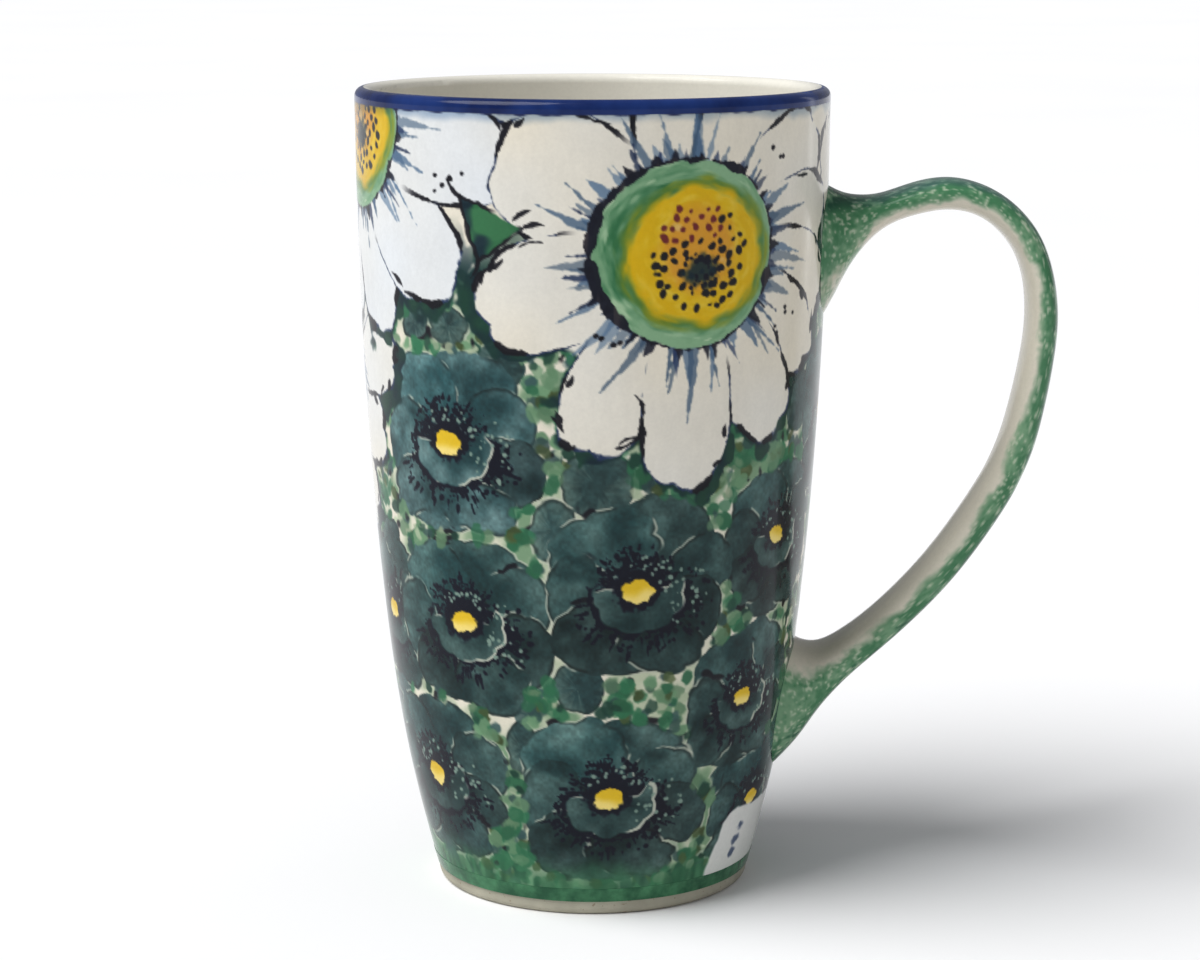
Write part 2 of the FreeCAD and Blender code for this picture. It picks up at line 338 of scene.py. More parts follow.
def poppy(turn, height, size=1.0, tones=darkFlower["tones"], flip=1):
    # back petals, the dark eye, the cupped front petal with its pale lip, and the stamens round them
    s = size * darkFlower["scale"]
    base, light = [hue[tone] for tone in tones]
    for x, y, rx, ry, lean, lit in darkFlower["petals"]:
        jolt = rng.uniform(0.86, 1.12, 4)
        shade = rng.uniform(0.85, 1.15)
        petal(turn, height, flip * x * s * jolt[0], y * s * jolt[1], rx * s * jolt[2], ry * s * jolt[3],
              flip * lean, base * lit * shade, light * (lit * shade) ** 0.6, darkFlower["reach"] * s)
    found = spread(turn, height, 17 * s)
    if found is None:
        return
    cells, across, up = found
    covered[cells] = np.maximum(covered[cells], np.hypot(across, up) < 12 * s)

    def strew(x, y, rx, ry, count, tone, *rest, **more):
        stamens(turn, height, x * s, y * s, rx * s, ry * s, int(count * s), hue[tone], *rest, **more)

    # the dark eye, and the dark hollow at its side
    _, y, rx, ry = (part * s for part in darkFlower["eye"])
    d, _ = oval(across, up - y, rx, ry, 0)
    lay(cells, 0.95 * speckled(cells, 0.6 - 0.6 * (d / s + 3.6) / 2.6), hue["navy"])
    x, y, rx, ry = (part * s for part in darkFlower["sideEye"])
    d, _ = oval(across - flip * x, up - y, rx, ry, 0)
    lay(cells, 0.95 * speckled(cells, 0.25 - 0.32 * (d / s + 3.2)), hue["navy"])
    strew(0, 1.5, 7.6, 6.6, 64, "navy", 0.62, 1.1, -10, 190, 0.9)
    strew(flip * 9.8, -2.5, 5.4, 6.4, 26, "navy", 0.2, 1.05)
    # the cupped petal in front, curling up on one side
    x, y, rx, ry = (part * s for part in darkFlower["cup"])
    d, around = oval(across - flip * x, up - y, rx, ry, flip * 6, 0.0, 2.1)
    d = d + 0.4 * ripple[cells] + 0.5 * scallops(around, 9, turn) + 0.14 * fine[cells]
    side = np.clip(flip * (across - flip * x) / rx, -1, 1)
    brim = (0.2 + 4.6 * smooth(0.55, 1.0, side) + 0.5 * ripple[cells]) * s
    below = smooth(brim + 0.2, brim - 0.2, up)
    beyond = smooth(0.0, 0.4, d) * smooth(2.5 * s, 0.5 * s, up)
    lay(cells, 0.95 * beyond * speckled(cells, 0.8 - 0.6 * d / s - 0.5 * smooth(0, 3, up)), hue["navy"])
    pale = 0.16 + 0.28 * smooth(-4 * s, 0, d) + 0.5 * lump[cells] + 0.3 * ripple[cells]
    colour = blend(base * 1.1, light, pale) * (1 + 0.12 * grain[cells])[..., None]
    lay(cells, smooth(0.12, -0.12, d) * below, colour)
    # its pale lip, and the fold where it tucks in
    lip = smooth(0.32, 0.12, np.abs(d - 0.05)) * below
    broken = 0.5 * lump[cells] + 0.5 * ripple[cells] + 0.5 * flip * side + 0.15 * fine[cells]
    lay(cells, 0.9 * lip * smooth(0.1, 0.5, broken), hue["line"])
    fold = smooth(0.24, 0.08, np.abs(up - brim)) * smooth(0.2 * s, -0.8 * s, d)
    fold = fold * smooth(3.6 * s, 5 * s, np.abs(across))
    lay(cells, 0.7 * fold * smooth(-0.3, 0.2, lump[cells] + ripple[cells]), hue["line"])
    x, y, rx, ry = darkFlower["cup"]
    strew(flip * x, y, rx * 1.03, ry * 1.05, 52, "navy", 1.1, 1.5, 190, 350, 1.6)
    strew(flip * 9.6, -1.5, 4.6, 5.8, 26, "greyPale", 0.3, 1.1, big=0.42)
    strew(0.8, 3.4, 5.4, 3.2, 24, "greyPale", 0.3, 1.15, big=0.40)
    # the dark heart and its yellow middle
    d, _ = oval(across, up, *(part * s for part in darkFlower["heart"]), 0)
    lay(cells, smooth(0.6, -0.5, d + 0.9 * fine[cells] + 0.5 * grain[cells]), hue["navy"])
    d, _ = oval(across, up, *(part * s for part in darkFlower["yolk"]), rng.uniform(-12, 12), 0.0, 2.3)
    yolk = blend(hue["lemon"], hue["gold"], 0.75 * smooth(-1.2, 1.0, up + 0.9 * ripple[cells]))
    lay(cells, smooth(0.16, -0.16, d + 0.40 * fine[cells] + 0.22 * grain[cells]), yolk)
    strew(0, 0, 3.4, 2.8, 18, "navy", 0.92, 1.25)


def bud(turn, height, rx, ry, lean):
    # a lone grey-green petal, smoother edged than a flower's
    petal(turn, height, 0, 0, rx, ry, lean, hue["greyLeaf"] * rng.uniform(0.8, 1.1), hue["greyPale"],
          1.3 * max(rx, ry), 0.35)


# a white petal: where its oval's middle lies along it, how egg-shaped and blunt, and lobes round it
whiteShape = {"middle": 0.60, "egg": 0.12, "blunt": 2.25, "lobes": 5.6, "lobeDepth": 0.75}


def petalEdge(turn, height, way, long, half, phase):
    # the outline of one white petal, from the flower's middle out along a direction
    cells, across, up = spread(turn, height, long + 5)
    c, s = np.cos(np.radians(way)), np.sin(np.radians(way))
    middle = whiteShape["middle"] * long
    d, around = oval(across - c * middle, up - s * middle, long - middle, half, way,
                     whiteShape["egg"], whiteShape["blunt"])
    tip = smooth(0.0, 0.7, np.cos(around))
    ruffle = whiteShape["lobeDepth"] * scallops(around, whiteShape["lobes"], phase) - 0.3
    d = d + tip * (ruffle + 0.28 * ripple[cells]) + 0.08 * fine[cells]
    return cells, d, around, (across * c + up * s) / long


def wetShadow(turn, height, way, long, half, phase):
    # dark wet colour that gathers behind the petal's end, only where it meets the dark flowers
    cells, d, around, along = petalEdge(turn, height, way, long, half, phase)
    lower = smooth(128, 116, aroundZ[cells] + 3 * lump[cells])
    width = 0.3 + 2.3 * smooth(-0.3, 0.7, lump[cells] + 0.5 * ripple[cells])
    tone = blend(hue["tealDeep"], hue["pine"], 0.5 + 0.9 * ripple[cells])
    edge = smooth(width + 0.3, width - 0.3, d + 0.35 * fine[cells])
    lay(cells, smooth(0.40, 0.55, along) * edge * lower * 0.95, tone)


def whitePetal(turn, height, way, long, half, phase, sheenShare):
    # a white petal with its outline; its last argument runs from cream to a bluish white that is a painted
    # sheen, set per flower
    cells, d, around, along = petalEdge(turn, height, way, long, half, phase)
    tint = blend(hue["cream"], hue["sheenWhite"], sheenShare + 0.2 * broad[cells])
    lay(cells, smooth(0.12, -0.12, d), tint * (1 + 0.008 * streak[cells] + 0.006 * fine[cells])[..., None])
    # the outline is thick and thin, and broken in places
    one, two = rng.uniform(0, 6.28, 2)
    wave = 0.6 * np.sin(around * rng.uniform(3, 5) + one) + 0.5 * np.sin(around * rng.uniform(7, 10) + two)
    pen = 0.10 + 0.34 * smooth(-0.2, 0.9, wave + 0.4 * lump[cells])
    start = rng.uniform(0.42, 0.56)
    drawn = smooth(start, start + 0.12, along) * smooth(-0.85, -0.55, wave + 0.3 * ripple[cells])
    nib = blend(hue["slateDeep"], hue["black"], smooth(0.14, 0.26, pen))
    lay(cells, 0.95 * drawn * smooth(pen + 0.12, pen - 0.12, np.abs(d + 0.05) + 0.12 * grain[cells]), nib)
    # loose hooked marks where the brush turned
    middle, c, s = whiteShape["middle"] * long, np.cos(np.radians(way)), np.sin(np.radians(way))
    for _ in range(rng.integers(3, 6)):
        at = rng.choice((-1, 1)) * rng.uniform(0.3, 1.5)
        a, b = middle + (long - middle) * np.cos(at), half * 0.98 * np.sin(at)
        lean = at + np.sign(at) * rng.uniform(1.35, 2.0)
        size = rng.uniform(1.8, 4.6)
        a2, b2 = a + size * np.cos(lean), b + size * np.sin(lean)
        hook = sweep((a * c - b * s, a * s + b * c), (a2 * c - b2 * s, a2 * s + b2 * c),
                     rng.uniform(-0.22, 0.22), rng.uniform(0.25, 0.6), thick=0.3)
        stroke(turn, height, hook, hue["black"], 0.92, 0.15, 0.18)


def spikes(turn, height, rx, ry, count, tone, low, high, wide, strength):
    # tapered marks that ray out from the ring, bunched and uneven
    for i in range(count):
        way = 2 * np.pi * (i + rng.uniform(-0.9, 0.9)) / count
        long = low + (high - low) * rng.random() ** 1.6
        x, y = rx * np.cos(way), ry * np.sin(way)
        lean = way + rng.uniform(-0.26, 0.26)
        w = wide * rng.uniform(0.4, 1.2)
        part, bent = 0.4 * long, lean + 0.06
        line = [(x - 0.6 * np.cos(way), y - 0.6 * np.sin(way), w),
                (x + part * np.cos(bent), y + part * np.sin(bent), w * 0.62),
                (x + long * np.cos(lean), y + long * np.sin(lean), 0.05)]
        stroke(turn, height, line, tone * rng.uniform(0.8, 1.15), strength * rng.uniform(0.65, 1.0),
               0.18, 0.24)


# the middle of a white flower: its half width and height, its rays as (count, paint, shortest, longest,
# half width, strength), and the dots strewn on its disc, never closer than their gap
eye = {"across": 17.1, "up": 16.0, "tries": 420, "dotGap": 1.45,
       "rays": [(44, "slate", 2.5, 9.0, 1.2, 0.85), (11, "slate", 7.5, 13.5, 1.1, 0.8),
                (28, "slateDeep", 1.5, 6.5, 0.9, 0.9), (24, "navy", 1.2, 3.6, 1.15, 0.94)]}


def core(turn, height):
    # blue and navy rays, then the ringed green eye with its golden disc and dots
    rx, ry = eye["across"], eye["up"]
    for count, tone, low, high, wide, strength in eye["rays"]:
        spikes(turn, height, rx, ry, count, hue[tone], low, high, wide, strength)
    cells, across, up = spread(turn, height, max(rx, ry) + 4)
    d, way = oval(across, up, rx, ry, 0)
    d = d + 0.22 * np.cos(3 * way + 1.2) + 0.2 * ripple[cells]
    strand = turned(d, way, 0.8, 5.5, 51)
    inward = smooth(-0.8, -5.0, d + 0.8 * lump[cells] + 1.0 * np.cos(way))
    green = blend(hue["sage"], hue["fern"], 0.06 + 0.62 * inward + 0.36 * strand + 0.25 * broad[cells])
    wisps = smooth(0.2, 0.8, turned(d, way, 1.0, 4.0, 53)) * smooth(-5, -1, d)
    lay(cells, smooth(0.15, -0.15, d), blend(green, hue["sageWhite"], 0.7 * wisps))
    # the dark ring is heaviest on one side
    loaded = lump[cells] + 0.4 * ripple[cells] + 0.9 * np.maximum(0, -np.cos(way + 0.5)) - 0.2
    heavy = 0.16 + 0.95 * smooth(0.0, 0.9, loaded)
    ring = smooth(heavy + 0.14, heavy - 0.14, np.abs(d - 0.2) + 0.26 * fine[cells] + 0.2 * grain[cells])
    lay(cells, 0.95 * ring, blend(hue["navy"], hue["umber"], smooth(0, 0.6, streak[cells])))
    # golden disc, a little off centre, melting into the green through moss
    dx, dy = 0.10 * rx, -0.02 * ry
    e, way = oval(across - dx, up - dy, rx * 0.84, ry * 0.82, 8)
    e = e + 0.25 * ripple[cells] + 0.4 * lump[cells]
    strand = turned(e, way, 0.9, 4.0, 55)
    mossy = blend(hue["moss"], hue["fern"], 0.25 + 0.5 * strand)
    lay(cells, 0.85 * smooth(0.6, -1.0, e + 0.5 * strand), mossy)
    yellow = blend(hue["gold"], hue["lemon"], 0.10 + 0.3 * strand)
    lay(cells, smooth(-0.6, -2.4, e + 0.5 * strand) * 0.97, yellow)
    inner, _ = oval(across - dx, up - dy - 0.06 * ry, rx * 0.44, ry * 0.48, 0)
    lay(cells, 0.85 * smooth(1.6, -2.6, inner + 0.8 * ripple[cells] + 0.5 * strand), hue["amber"])
    glints = smooth(0.2, 0.8, ripple[cells] + 0.5 * fine[cells]) * smooth(1, -2, inner)
    lay(cells, 0.35 * glints, hue["cream"])
    # dots, reddish in the upper left, and a dark smudge among them
    laid = []
    for _ in range(eye["tries"]):
        far, at = np.sqrt(rng.uniform(0.06, 1.0)), rng.uniform(0, 2 * np.pi)
        x, y = dx + 0.02 * rx + rx * 0.53 * far * np.cos(at), dy - 0.02 * ry + ry * 0.58 * far * np.sin(at)
        if any(np.hypot(x - px, y - py) < eye["dotGap"] for px, py in laid):
            continue
        laid.append((x, y))
        red = y > 0.14 * ry and x < dx + 0.25 * rx
        size = rng.uniform(0.36, 0.72)
        dab(turn, height, x, y, size * rng.uniform(1, 1.4), size, rng.uniform(0, 180),
            hue["maroon"] if red else hue["black"], 0.95, 0.16, 0.2)
    dab(turn, height, dx + 0.02 * rx, dy - 0.17 * ry, 3.0, 2.5, 20, hue["tealDeep"], 0.9, 1.0, 0.8)
    stamens(turn, height, dx + 0.02 * rx, dy - 0.17 * ry, 3.6, 3.1, 30, hue["navy"], 0.3, 1.05)


def whiteFlower(turn, height, petals, sheenShare=0.0):
    # each petal is (direction, length, half width), and the first are overlapped by the next
    phases = rng.uniform(0, 6.28, len(petals))
    for (way, long, half), phase in zip(petals, phases):
        wetShadow(turn, height, way, long, half, phase)
    cells, across, up = spread(turn, height, 29)
    d, _ = oval(across, up, 26.5, 25.5, 0)
    # the disc under the petals is tinted from cream to the bluish white of a painted sheen
    tint = blend(hue["cream"], hue["sheenWhite"], sheenShare + 0.2 * broad[cells])
    lay(cells, smooth(0.5, -0.5, d + ripple[cells]), tint)
    for (way, long, half), phase in zip(petals, phases):
        whitePetal(turn, height, way, long, half, phase, sheenShare)
    core(turn, height)


def ringOfPetals(count, long, half):
    # a full flower for the sides that have no laid-out petals
    start = rng.uniform(0, 360 / count)
    return [(start + i * 360 / count + rng.uniform(-4, 4), long * rng.uniform(0.94, 1.05),
             half * rng.uniform(0.9, 1.1)) for i in rng.permutation(count)]


def specks(turn, height, count, reach):
    # a few dots flicked on a petal
    for _ in range(count):
        dab(turn, height, rng.uniform(-reach, reach), rng.uniform(-reach, reach) * 0.6, 0.45, 0.38, 0,
            hue["black"], 0.95, 0.14, 0.12)


def wedge(turn, height, size):
    # the small three-cornered leaf between two white flowers
    cells, across, up = spread(turn, height, size + 5)
    corners = size * np.array([(-1.0, 0.85), (1.15, -0.05), (-0.35, -1.1)])
    d = np.full(across.shape, -99.0)
    for (ax, ay), (bx, by) in zip(corners, np.roll(corners, -1, axis=0)):
        far = np.hypot(bx - ax, by - ay)
        d = np.maximum(d, ((across - ax) * (ay - by) + (up - ay) * (bx - ax)) / far)
    d = d + 0.5 * ripple[cells] + 0.3 * fine[cells]
    dark = smooth(0.0, 0.5, ripple[cells] + 0.6 * lump[cells] - across / size * 0.6)
    lay(cells, 0.95 * smooth(0.2, -0.2, d), blend(hue["fern"], hue["tealDeep"], dark))
    lay(cells, 0.9 * smooth(0.5, 0.2, np.abs(d - 0.1)) * smooth(-0.4, 0.1, lump[cells]), hue["black"])
    # strokes run on from its corners
    for x, y, lean in ((1.1, -0.05, 0.12), (0.8, 0.15, 0.5), (-0.35, -1.0, -2.0), (-0.9, 0.8, 2.4)):
        stop = (x * size + 4 * np.cos(lean), y * size + 4 * np.sin(lean))
        tail = sweep((x * size, y * size), stop, 0.1, 0.5, thick=0.25)
        stroke(turn, height, tail, hue["black"], 0.92, 0.15, 0.18)


def rootLines(height, rx, ry):
    # green brushed round the handle's root
    cells, across, up = spread(90, height, max(rx, ry) + 4)
    d, _ = oval(across, up, rx, ry, 0)
    lay(cells, 0.8 * smooth(1.3, 0.3, np.abs(d) + 0.5 * ripple[cells]), hue["fern"])
    lay(cells, 0.7 * smooth(0.7, 0.1, np.abs(d - 0.9) + 0.4 * fine[cells] + 0.6 * lump[cells]), hue["pine"])


def plainPatch(turn, height, across, tall):
    # an off-white patch brushed over the flowers near the foot, with three plain dots on it
    cells, a, up = spread(turn, height, across + 4)
    a = a - 0.22 * up
    over = np.maximum(np.abs(a) - across + 2.5, 0), np.maximum(np.abs(up) - tall + 2.5, 0)
    d = np.hypot(*over) - 2.5
    lay(cells, 0.96 * smooth(0.35, -0.35, d + 0.3 * ripple[cells] + 0.2 * fine[cells]), hue["patch"])
    for up in (-2.6, 0.0, 2.6):
        dab(turn, height, -3.6 + 0.2 * up, up, 0.95, 0.8, 0, hue["slateDeep"], 0.75, 0.4, 0.4)


# where everything is painted: degrees round from the front, millimetres up, then sizes in millimetres
bouquet = {
    "buds": [(-36, 107, 4.8, 3.4, 0), (-47, 107, 3.6, 3.2, 20), (-22, 101, 4.6, 3.4, -30),
             (1, 80.5, 6.6, 6.2, 0), (-10, 72.5, 4.4, 6.0, -10), (-4, 44, 4.6, 4.8, 10),
             (-20, 32, 3.4, 5.0, 0), (-30, 30, 2.6, 3.4, 30), (42, 24, 3.2, 3.0, 0),
             (62, 92, 5.0, 5.4, 0), (-66, 66, 4.4, 4.6, 0), (-70, 38, 4.8, 4.0, 0)],
    "looseBuds": 26,
    # rows of dark flowers on the far sides, as first turn, height and how many, and their spacing
    "backRows": [(88, 22, 6), (109, 54, 5), (84, 86, 5)], "backStep": 37,
    # the upper-left dark flower takes its own bluer, paler tones, the paleness partly a painted sheen
    "darkFlowers": [(-69, 53, 0.9), (60.5, 18.5, 0.78), (55, 68.5, 0.88), (46.5, 39.5, 0.84), (-55, 24, 1.0),
                    (-37.5, 86.5, 1.08, ("blueTeal", "bluePale")), (-36, 54.5, 1.05), (5, 23, 1.05),
                    (11.5, 61.5, 1.06)],
    # white flowers whose petals are only counted, with the petals' length and half width
    "backWhites": [(122, 132, 9), (172, 108, 9), (-142, 141, 9)], "backPetal": (38.0, 9.5),
    # white flowers laid out petal by petal: turn, height, share of painted bluish sheen, and (direction,
    # length, half width)
    "whites": [
        (-110, 98, 0.4, [(64, 36, 8), (98, 36, 8), (132, 37, 8.5), (168, 38, 8.5), (204, 37, 8.5),
                         (240, 37, 8.5), (275, 36, 8.5), (-52, 37, 8), (-24, 36, 7.8), (3, 39.5, 7.4),
                         (32, 37, 7.8)]),
        (-75, 141.5, 0.7, [(-168, 37, 8.6), (-135, 38, 8.6), (-104, 38, 8.2), (-74, 38.6, 8.4),
                           (-44.5, 41.0, 9.4), (20, 40, 9), (-9, 43.5, 9.0)]),
        (23, 120, 0.15, [(120, 38, 10), (92, 36, 9.5), (62, 38, 9.5), (150, 38, 11.5), (31, 38, 9.0),
                         (10, 38.5, 7.8), (348, 38.5, 8.2), (195, 38.3, 9.6), (328, 37, 7.6),
                         (240.5, 38.6, 8.2), (302, 38.2, 8.2), (270.5, 40.8, 8.4)])],
    "wedge": (-24.4, 124.8, 5.6),
    "specks": [(0.5, 107, 3, 1.8), (5, 105, 2, 1.2), (-35, 131.5, 7, 3.0), (48, 136, 3, 2.5),
               (53, 109, 3, 2.6), (48, 105.5, 2, 1.5)],
    "handleRoots": [(117.6, 10.8, 11.8), (34.2, 11.5, 13.4)],
    "patch": (63, 10.8, 10.0, 6.4), "rimStain": ink(178, 196, 218)}


def rimStain():
    # the rim's blue runs down a little unevenly, with a paler blue stain below it
    top = wall["rimBandBottom"]
    stain = smooth(top - 2.0, top, aroundZ + 0.8 * lump + 0.4 * ripple)
    paint[:] = paint * (1 - stain[..., None] * (1 - bouquet["rimStain"]))
    paint[:] = blend(paint, hue["blot"], 0.9 * smooth(top - 0.3, top, aroundZ + 0.3 * ripple + 0.15 * fine))


def paintWall():
    # each layer over the last
    ground()
    for place in bouquet["buds"]:
        bud(*place)
    for i in range(bouquet["looseBuds"]):
        bud(rng.uniform(72, 282), rng.uniform(10, 112), rng.uniform(3, 5.5), rng.uniform(2.8, 5),
            rng.uniform(0, 90))
    for start, height, count in bouquet["backRows"]:
        for i in range(count):
            poppy(start + bouquet["backStep"] * i + rng.uniform(-2, 2), height + rng.uniform(-3, 3),
                  rng.uniform(0.95, 1.06), flip=rng.choice((-1, 1)))
    for place in bouquet["darkFlowers"]:
        poppy(*place)
    gapDabs()
    footWash()
    print("dark flowers painted")
    for turn, height, count in bouquet["backWhites"]:
        whiteFlower(turn, height, ringOfPetals(count, *bouquet["backPetal"]))
    for turn, height, sheenShare, petals in bouquet["whites"]:
        whiteFlower(turn, height, petals, sheenShare)
    wedge(*bouquet["wedge"])
    for place in bouquet["specks"]:
        specks(*place)
    for place in bouquet["handleRoots"]:
        rootLines(*place)
    plainPatch(*bouquet["patch"])
    rimStain()
    print("white flowers painted")


def newMaterial(name):
    material = bpy.data.materials.new(name)
    material.use_nodes = True
    tree = material.node_tree
    return material, tree, tree.nodes["Principled BSDF"]


def add(tree, kind, **sets):
    node = tree.nodes.new(kind)
    for key, value in sets.items():
        if key in node.inputs:
            node.inputs[key].default_value = value
        else:
            setattr(node, key, value)
    return node


def objectPlaces(tree):
    return add(tree, "ShaderNodeTexCoord").outputs["Object"]


def noiseOf(tree, coordinate, scale, detail=3.0):
    node = add(tree, "ShaderNodeTexNoise", Scale=scale, Detail=detail, Roughness=0.55)
    tree.links.new(coordinate, node.inputs["Vector"])
    return node.outputs["Fac"]


def ranged(tree, value, low, high, fromLow=0.3, fromHigh=0.7):
    node = add(tree, "ShaderNodeMapRange")
    node.inputs["From Min"].default_value, node.inputs["From Max"].default_value = fromLow, fromHigh
    node.inputs["To Min"].default_value, node.inputs["To Max"].default_value = low, high
    tree.links.new(value, node.inputs["Value"])
    return node.outputs["Result"]


def mixed(tree, factor, a, b, way="MIX"):
    node = add(tree, "ShaderNodeMix", data_type="RGBA", blend_type=way)
    for value, socket in ((factor, node.inputs["Factor"]), (a, node.inputs["A"]), (b, node.inputs["B"])):
        if isinstance(value, (int, float, tuple, list)):
            socket.default_value = value
        else:
            tree.links.new(value, socket)
    return node.outputs["Result"]


def linear(colour):
    # from a colour as seen to the amounts of light that a shader takes
    c = np.asarray(colour, float)
    return np.where(c <= 0.04045, c / 12.92, ((c + 0.055) / 1.055) ** 2.4)


def solid(name):
    return tuple(linear(hue[name])) + (1.0,)


# a clear glaze over its colour: least roughness and its spread, bump of its waves and pores, and their
# depths in metres
glazeLook = {"gloss": 0.10, "glossSpread": 0.10, "wave": 0.08, "waveDepth": 0.0006, "pores": 0.04,
             "poreDepth": 0.00015, "bend": 1.46, "shine": 0.18}


def glazed(name, colour=None, attribute=None, mottle=0.05):
    # slow waves where it ran, a few pinholes, gloss that varies a little
    material, tree, surface = newMaterial(name)
    place = objectPlaces(tree)
    base = colour
    if attribute:
        base = add(tree, "ShaderNodeAttribute", attribute_name=attribute).outputs["Color"]
    cloudy = ranged(tree, noiseOf(tree, place, 90.0, 4.0), 1 - mottle, 1 + mottle)
    speckle = ranged(tree, noiseOf(tree, place, 1500.0, 2.0), 1 - mottle, 1 + 0.5 * mottle)
    shade = add(tree, "ShaderNodeMath", operation="MULTIPLY")
    tree.links.new(cloudy, shade.inputs[0])
    tree.links.new(speckle, shade.inputs[1])
    grey = add(tree, "ShaderNodeCombineColor")
    for channel in ("Red", "Green", "Blue"):
        tree.links.new(shade.outputs[0], grey.inputs[channel])
    tree.links.new(mixed(tree, 1.0, base, grey.outputs[0], "MULTIPLY"), surface.inputs["Base Color"])
    rough = ranged(tree, noiseOf(tree, place, 160.0, 3.0), glazeLook["gloss"],
                   glazeLook["gloss"] + glazeLook["glossSpread"])
    tree.links.new(rough, surface.inputs["Roughness"])
    waves = add(tree, "ShaderNodeBump", Strength=glazeLook["wave"], Distance=glazeLook["waveDepth"])
    tree.links.new(noiseOf(tree, place, 55.0, 2.0), waves.inputs["Height"])
    pores = add(tree, "ShaderNodeBump", Strength=glazeLook["pores"], Distance=glazeLook["poreDepth"])
    tree.links.new(noiseOf(tree, place, 900.0, 2.0), pores.inputs["Height"])
    tree.links.new(waves.outputs["Normal"], pores.inputs["Normal"])
    tree.links.new(pores.outputs["Normal"], surface.inputs["Normal"])
    surface.inputs["IOR"].default_value = glazeLook["bend"]
    surface.inputs["Specular IOR Level"].default_value = glazeLook["shine"]
    return material, tree, surface


def bareClay(name):
    # fired stoneware: fine sandy grain, iron specks, quite matt
    material, tree, surface = newMaterial(name)
    place = objectPlaces(tree)
    warm = ranged(tree, noiseOf(tree, place, 120.0, 5.0), 0.0, 1.0)
    clay = mixed(tree, warm, solid("clayDeep"), solid("clayPale"))
    iron = ranged(tree, noiseOf(tree, place, 1400.0, 1.0), 0.0, 0.6, 0.68, 0.76)
    tree.links.new(mixed(tree, iron, clay, solid("iron")), surface.inputs["Base Color"])
    tree.links.new(ranged(tree, noiseOf(tree, place, 600.0, 3.0), 0.68, 0.86), surface.inputs["Roughness"])
    grit = add(tree, "ShaderNodeBump", Strength=0.3, Distance=0.0002)
    tree.links.new(noiseOf(tree, place, 1800.0, 4.0), grit.inputs["Height"])
    tree.links.new(grit.outputs["Normal"], surface.inputs["Normal"])
    return material


def dress(node, material):
    piece = bpy.data.objects[node]
    for slot in piece.material_slots:
        slot.material = material


def begin(name, adder, **sets):
    bpy.ops.object.select_all(action="DESELECT")
    adder(**sets)
    piece = bpy.context.active_object
    piece.name = piece.data.name = name
    return piece


def edit():
    bpy.ops.object.mode_set(mode="EDIT")


def done():
    bpy.ops.object.mode_set(mode="OBJECT")


def choose(piece, kind, test):
    # selects the vertices, edges or faces that pass the test, and stays in edit mode
    done()
    mesh = piece.data
    for parts in (mesh.vertices, mesh.edges, mesh.polygons):
        parts.foreach_set("select", np.zeros(len(parts), bool))
    edit()
    bpy.ops.mesh.select_mode(type={"vertices": "VERT", "edges": "EDGE", "faces": "FACE"}[kind])
    done()
    if kind == "edges":
        for part in mesh.edges:
            part.select = test(*(mesh.vertices[end].co for end in part.vertices))
    else:
        for part in mesh.vertices if kind == "vertices" else mesh.polygons:
            part.select = test(part)
    edit()


def pointsOf(piece):
    places = np.empty(len(piece.data.vertices) * 3, np.float32)
    piece.data.vertices.foreach_get("co", places)
    return places.reshape(-1, 3)


def move(piece, places):
    piece.data.vertices.foreach_set("co", places.astype(np.float32).ravel())
    piece.data.update()


def colourPoints(piece, name, colours):
    layer = piece.data.color_attributes.new(name=name, type="FLOAT_COLOR", domain="POINT")
    full = np.ones((len(colours), 4), np.float32)
    full[:, :3] = linear(np.clip(colours, 0, 1))
    layer.data.foreach_set("color", full.ravel())


def finish(piece, material, *nodes, slotName=None):
    bpy.ops.object.select_all(action="DESELECT")
    piece.select_set(True)
    bpy.context.view_layer.objects.active = piece
    bpy.ops.object.transform_apply(location=True, rotation=True, scale=True)
    bpy.ops.object.shade_smooth_by_angle(angle=radians(40))
    piece.data.materials.clear()
    piece.data.materials.append(material)
    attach(piece, "root")
    if nodes:
        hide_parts(*nodes)


# the painted wall, in panels that meet edge to edge: strips first, then cuts in each, and the coat's
# thickness in millimetres
panel = {"stripsAcross": 4, "stripsUp": 16, "cuts": 34, "skin": 0.28}
nearly = 1e-3


def wallPanel(index, material):
    width, tall = float(sheet["panelColumns"]), float(sheet["rows"] - 1)
    piece = begin("painted_wall_%d" % (index + 1), bpy.ops.mesh.primitive_cube_add, size=1.0)
    places = pointsOf(piece)
    move(piece, places * np.array([width, 1.0, tall]) + np.array([width / 2, 0, tall / 2]))
    # cut into strips both ways, then only the outer face finely
    choose(piece, "edges", lambda a, b: abs(a.x - b.x) > nearly)
    bpy.ops.mesh.subdivide(number_cuts=panel["stripsAcross"] - 1)
    choose(piece, "edges", lambda a, b: abs(a.z - b.z) > nearly)
    bpy.ops.mesh.subdivide(number_cuts=panel["stripsUp"] - 1)
    choose(piece, "faces", lambda f: f.normal.y < -0.9)
    bpy.ops.mesh.subdivide(number_cuts=panel["cuts"])
    done()
    # bend it round the cup: across is degrees, up is height, and the inner face lies on the clay
    places = pointsOf(piece)
    along = index * width + places[:, 0]
    turn = np.radians(sheet["startTurn"] + along * 360.0 / sheetColumns)
    height = sheet["low"] + places[:, 2] * (sheet["high"] - sheet["low"]) / tall
    away = wallRadius(height) - np.where(places[:, 1] > 0, panel["skin"], 0.0)
    column = np.round(along).astype(int) % sheetColumns
    row = np.clip(np.round(places[:, 2]).astype(int), 0, sheet["rows"] - 1)
    move(piece, np.column_stack([away * np.sin(turn), -away * np.cos(turn), height]) / 1000.0)
    colourPoints(piece, "underglaze", paint[row, column])
    finish(piece, material, "wall_glaze", slotName="painted_glaze")


